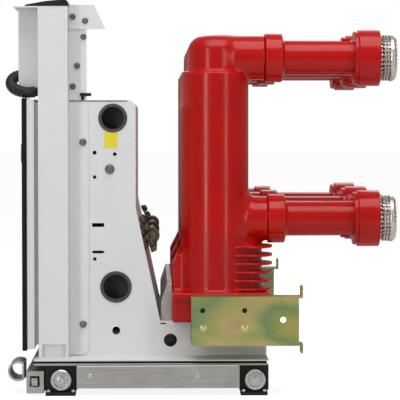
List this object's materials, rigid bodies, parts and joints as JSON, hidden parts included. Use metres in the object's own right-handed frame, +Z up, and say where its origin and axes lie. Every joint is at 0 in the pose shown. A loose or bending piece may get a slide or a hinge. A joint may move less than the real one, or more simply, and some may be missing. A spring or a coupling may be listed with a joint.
{
  "type": "withdrawable vacuum circuit breaker",
  "caption": "Indoor medium-voltage vacuum circuit breaker on a withdrawable truck: red embedded poles with contact arms, grey mechanism frame, wheels and racking beam.",
  "frame": {"origin": "on the floor under the middle of the bounding box", "axes": "+X from the operator front to the contact arms, +Z up, +Y to the left of an operator who stands at the front"},
  "size_m": [0.667, 0.68, 0.6624],
  "materials": {
    "epoxy": "glossy cast epoxy resin, signal red",
    "frame_paint": "light grey powder coat",
    "contact_silver": "silver-plated copper",
    "bare_steel": "oiled phosphated steel",
    "bright_steel": "turned, bright zinc plated",
    "black_steel": "black painted steel",
    "zinc_plate": "zinc plated steel sheet",
    "chromate_plate": "yellow chromated zinc",
    "black_plastic": "satin moulded plastic",
    "conduit_plastic": "ribbed flexible conduit",
    "black_rubber": "isolating strip"
  },
  "bodies": {
    "truck": {"pole_left": "epoxy", "pole_centre": "epoxy", "pole_right": "epoxy", "upper_arm_left": "epoxy", "upper_arm_centre": "epoxy", "upper_arm_right": "epoxy", "lower_arm_left": "epoxy", "lower_arm_centre": "epoxy", "lower_arm_right": "epoxy", "upper_shields": "epoxy", "lower_shields": "epoxy", "upper_tulip_left": "contact_silver", "upper_tulip_centre": "contact_silver", "upper_tulip_right": "contact_silver", "lower_tulip_left": "contact_silver", "lower_tulip_centre": "contact_silver", "lower_tulip_right": "contact_silver", "side_plate_left": "frame_paint", "side_plate_right": "frame_paint", "mechanism_lid": "frame_paint", "rear_cover": "bare_steel", "base_tray": "frame_paint", "pole_beam": "frame_paint", "drive_shaft": "bare_steel", "drive_levers": "bare_steel", "post_left": "frame_paint", "post_right": "frame_paint", "front_panel": "frame_paint", "back_panel": "frame_paint", "upper_box": "frame_paint", "top_plate": "frame_paint", "top_cap": "black_plastic", "rear_flange": "frame_paint", "front_cover": "frame_paint", "front_fascia": "black_plastic", "front_controls": "bright_steel", "conduit": "conduit_plastic", "lifting_cups_left": "black_plastic", "lifting_cups_right": "black_plastic", "shutter_bracket_left": "chromate_plate", "shutter_bracket_right": "chromate_plate", "truck_deck": "zinc_plate", "isolating_strips": "black_rubber", "truck_rail_left": "zinc_plate", "truck_rail_right": "zinc_plate", "truck_front_member": "zinc_plate", "truck_rear_member": "zinc_plate", "wheel_housings_left": "black_steel", "wheel_housings_right": "black_steel"},
    "racking_beam": {"racking_beam": "zinc_plate", "guide_arms": "zinc_plate", "racking_screw": "bright_steel"},
    "latch_left": {"latch_handle_left": "zinc_plate"},
    "latch_right": {"latch_handle_right": "zinc_plate"},
    "wheel_front_left": {"wheel_front_left": "bright_steel"},
    "wheel_front_right": {"wheel_front_right": "bright_steel"},
    "wheel_rear_left": {"wheel_rear_left": "bright_steel"},
    "wheel_rear_right": {"wheel_rear_right": "bright_steel"}
  },
  "joints": [
    {"name": "racking_slide", "type": "slide", "parent": "truck", "child": "racking_beam", "axis": [-1, 0, 0], "range_m": [0, 0.2]},
    {"name": "latch_left_slide", "type": "slide", "parent": "racking_beam", "child": "latch_left", "axis": [0, -1, 0], "range_m": [0, 0.012], "stiffness_N_per_m": 1500, "springref_m": -0.004},
    {"name": "latch_right_slide", "type": "slide", "parent": "racking_beam", "child": "latch_right", "axis": [0, 1, 0], "range_m": [0, 0.012], "stiffness_N_per_m": 1500, "springref_m": -0.004},
    {"name": "wheel_front_left_spin", "type": "hinge", "parent": "truck", "child": "wheel_front_left", "pos_m": [-0.237, 0.3215, 0.027], "axis": [0, 1, 0], "continuous": true},
    {"name": "wheel_front_right_spin", "type": "hinge", "parent": "truck", "child": "wheel_front_right", "pos_m": [-0.237, -0.3215, 0.027], "axis": [0, 1, 0], "continuous": true},
    {"name": "wheel_rear_left_spin", "type": "hinge", "parent": "truck", "child": "wheel_rear_left", "pos_m": [0.087, 0.3215, 0.027], "axis": [0, 1, 0], "continuous": true},
    {"name": "wheel_rear_right_spin", "type": "hinge", "parent": "truck", "child": "wheel_rear_right", "pos_m": [0.087, -0.3215, 0.027], "axis": [0, 1, 0], "continuous": true}
  ]
}
